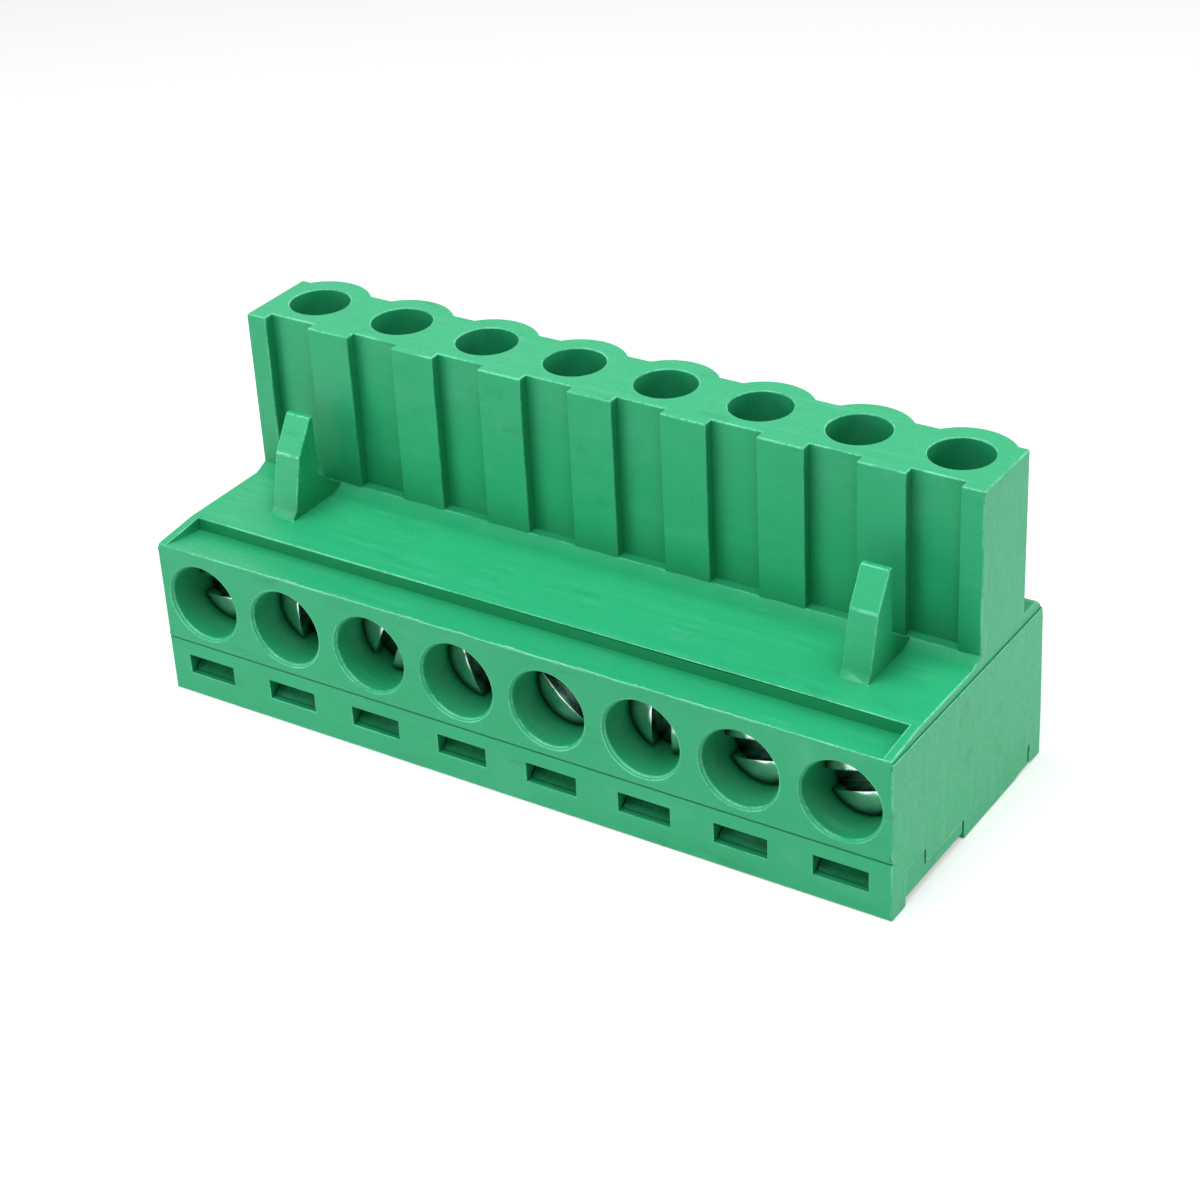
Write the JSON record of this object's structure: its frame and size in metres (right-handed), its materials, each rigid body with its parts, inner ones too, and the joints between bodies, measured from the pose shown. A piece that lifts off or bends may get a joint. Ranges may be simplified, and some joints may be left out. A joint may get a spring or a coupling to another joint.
{
  "type": "pluggable terminal block",
  "caption": "Plug half of a pluggable screw terminal block: a moulded housing with a row of sockets, latch prongs, clamp screws, rising clamps and a snap-in wire cover.",
  "frame": {"origin": "middle of the bottom of the bounding box, on the wire side that the plug stands on", "axes": "+X along the row of poles, -Y towards the screw face, +Z towards the mating sockets"},
  "size_m": [0.0406, 0.0152, 0.0172],
  "materials": {
    "housing": "satin moulded polyamide",
    "cover": "satin moulded polyamide",
    "screw": "bright zinc plate",
    "cage": "nickel-plated brass",
    "contact": "tin-plated bronze"
  },
  "bodies": {
    "root": {"housing": "housing", "wire_cover": "cover", "contact_1": "contact", "contact_2": "contact", "contact_3": "contact", "contact_4": "contact", "contact_5": "contact", "contact_6": "contact", "contact_7": "contact", "contact_8": "contact"},
    "screw_1": {"screw_1": "screw"},
    "cage_1": {"cage_1": "cage"},
    "screw_2": {"screw_2": "screw"},
    "cage_2": {"cage_2": "cage"},
    "screw_3": {"screw_3": "screw"},
    "cage_3": {"cage_3": "cage"},
    "screw_4": {"screw_4": "screw"},
    "cage_4": {"cage_4": "cage"},
    "screw_5": {"screw_5": "screw"},
    "cage_5": {"cage_5": "cage"},
    "screw_6": {"screw_6": "screw"},
    "cage_6": {"cage_6": "cage"},
    "screw_7": {"screw_7": "screw"},
    "cage_7": {"cage_7": "cage"},
    "screw_8": {"screw_8": "screw"},
    "cage_8": {"cage_8": "cage"}
  },
  "joints": [
    {"name": "screw_1_turn", "type": "hinge", "parent": "root", "child": "screw_1", "pos_m": [-0.01778, -0.0053, 0.00555], "axis": [0, 1, 0], "range_deg": [0, 1728]},
    {"name": "screw_2_turn", "type": "hinge", "parent": "root", "child": "screw_2", "pos_m": [-0.0127, -0.0053, 0.00555], "axis": [0, 1, 0], "range_deg": [0, 1728]},
    {"name": "screw_3_turn", "type": "hinge", "parent": "root", "child": "screw_3", "pos_m": [-0.00762, -0.0053, 0.00555], "axis": [0, 1, 0], "range_deg": [0, 1728]},
    {"name": "screw_4_turn", "type": "hinge", "parent": "root", "child": "screw_4", "pos_m": [-0.00254, -0.0053, 0.00555], "axis": [0, 1, 0], "range_deg": [0, 1728]},
    {"name": "screw_5_turn", "type": "hinge", "parent": "root", "child": "screw_5", "pos_m": [0.00254, -0.0053, 0.00555], "axis": [0, 1, 0], "range_deg": [0, 1728]},
    {"name": "screw_6_turn", "type": "hinge", "parent": "root", "child": "screw_6", "pos_m": [0.00762, -0.0053, 0.00555], "axis": [0, 1, 0], "range_deg": [0, 1728]},
    {"name": "screw_7_turn", "type": "hinge", "parent": "root", "child": "screw_7", "pos_m": [0.0127, -0.0053, 0.00555], "axis": [0, 1, 0], "range_deg": [0, 1728]},
    {"name": "screw_8_turn", "type": "hinge", "parent": "root", "child": "screw_8", "pos_m": [0.01778, -0.0053, 0.00555], "axis": [0, 1, 0], "range_deg": [0, 1728]},
    {"name": "cage_1_rise", "type": "slide", "parent": "root", "child": "cage_1", "axis": [0, -1, 0], "range_m": [0, 0.0024]},
    {"name": "cage_2_rise", "type": "slide", "parent": "root", "child": "cage_2", "axis": [0, -1, 0], "range_m": [0, 0.0024]},
    {"name": "cage_3_rise", "type": "slide", "parent": "root", "child": "cage_3", "axis": [0, -1, 0], "range_m": [0, 0.0024]},
    {"name": "cage_4_rise", "type": "slide", "parent": "root", "child": "cage_4", "axis": [0, -1, 0], "range_m": [0, 0.0024]},
    {"name": "cage_5_rise", "type": "slide", "parent": "root", "child": "cage_5", "axis": [0, -1, 0], "range_m": [0, 0.0024]},
    {"name": "cage_6_rise", "type": "slide", "parent": "root", "child": "cage_6", "axis": [0, -1, 0], "range_m": [0, 0.0024]},
    {"name": "cage_7_rise", "type": "slide", "parent": "root", "child": "cage_7", "axis": [0, -1, 0], "range_m": [0, 0.0024]},
    {"name": "cage_8_rise", "type": "slide", "parent": "root", "child": "cage_8", "axis": [0, -1, 0], "range_m": [0, 0.0024]}
  ],
  "couplings": [
    {"joint": "screw_1_turn", "follows": "cage_1_rise", "rad_per_m": 12566},
    {"joint": "screw_2_turn", "follows": "cage_2_rise", "rad_per_m": 12566},
    {"joint": "screw_3_turn", "follows": "cage_3_rise", "rad_per_m": 12566},
    {"joint": "screw_4_turn", "follows": "cage_4_rise", "rad_per_m": 12566},
    {"joint": "screw_5_turn", "follows": "cage_5_rise", "rad_per_m": 12566},
    {"joint": "screw_6_turn", "follows": "cage_6_rise", "rad_per_m": 12566},
    {"joint": "screw_7_turn", "follows": "cage_7_rise", "rad_per_m": 12566},
    {"joint": "screw_8_turn", "follows": "cage_8_rise", "rad_per_m": 12566}
  ]
}
